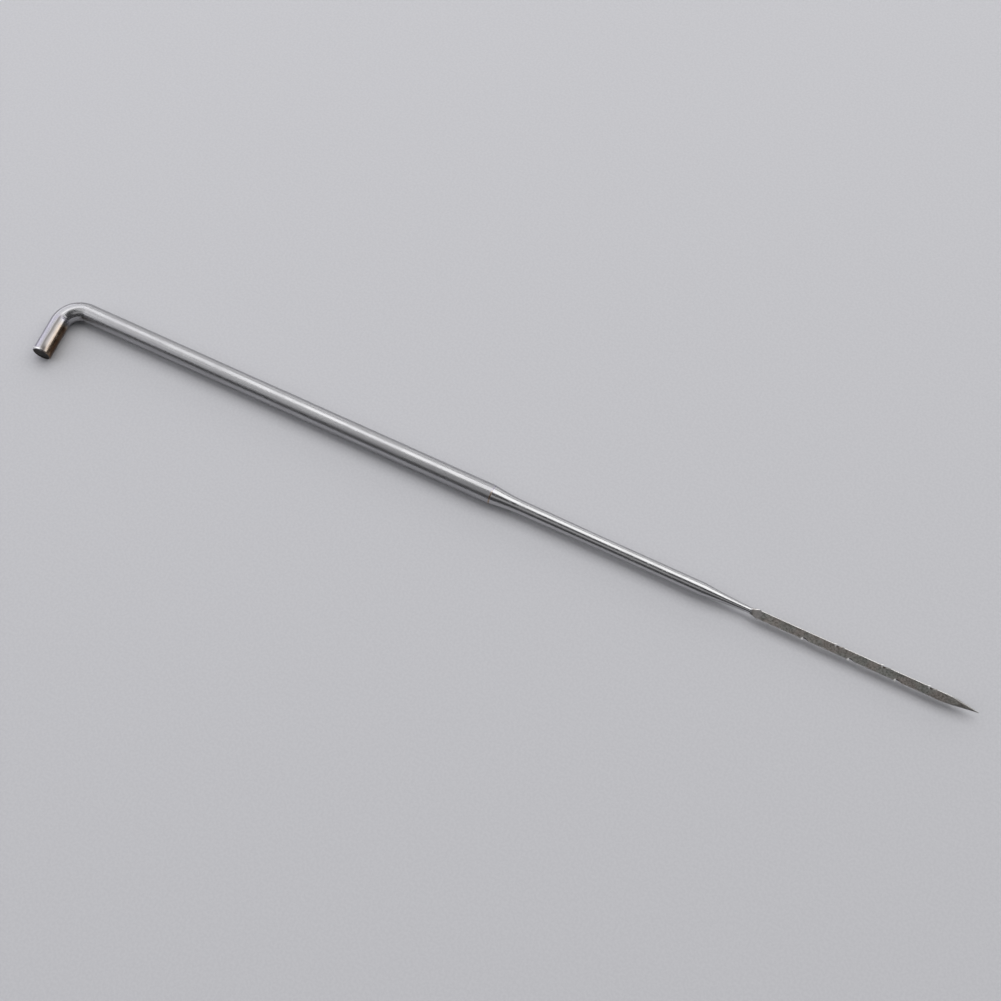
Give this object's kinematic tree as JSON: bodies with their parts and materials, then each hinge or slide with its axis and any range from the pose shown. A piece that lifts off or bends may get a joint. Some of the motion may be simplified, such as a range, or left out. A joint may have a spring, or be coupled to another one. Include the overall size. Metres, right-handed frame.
{
  "type": "felting needle",
  "caption": "Steel felting needle with a cranked end, a stepped round shank, a barbed three-cornered blade and a ground point.",
  "frame": {"origin": "on the shank's axis, where the straight shank meets the crank's bend", "axes": "+X along the shank to the tip, +Z square to the plane that the shank and the crank's leg lie in, the leg towards -Y"},
  "size_m": [0.092, 0.0067, 0.0018],
  "materials": {
    "drawn_wire": "bright drawn wire with fine lengthwise lines",
    "swaged_steel": "bright swaged steel with fine lines",
    "pressed_steel": "satin grey pressed flats with bright rounded corners",
    "ground_steel": "ground point with fine grinding lines"
  },
  "bodies": {
    "root": {"crank_leg": "drawn_wire", "crank_bend": "drawn_wire", "shank": "drawn_wire", "upper_taper": "swaged_steel", "intermediate_section": "swaged_steel", "lower_taper": "swaged_steel", "blade": "pressed_steel", "point": "ground_steel"}
  },
  "joints": []
}
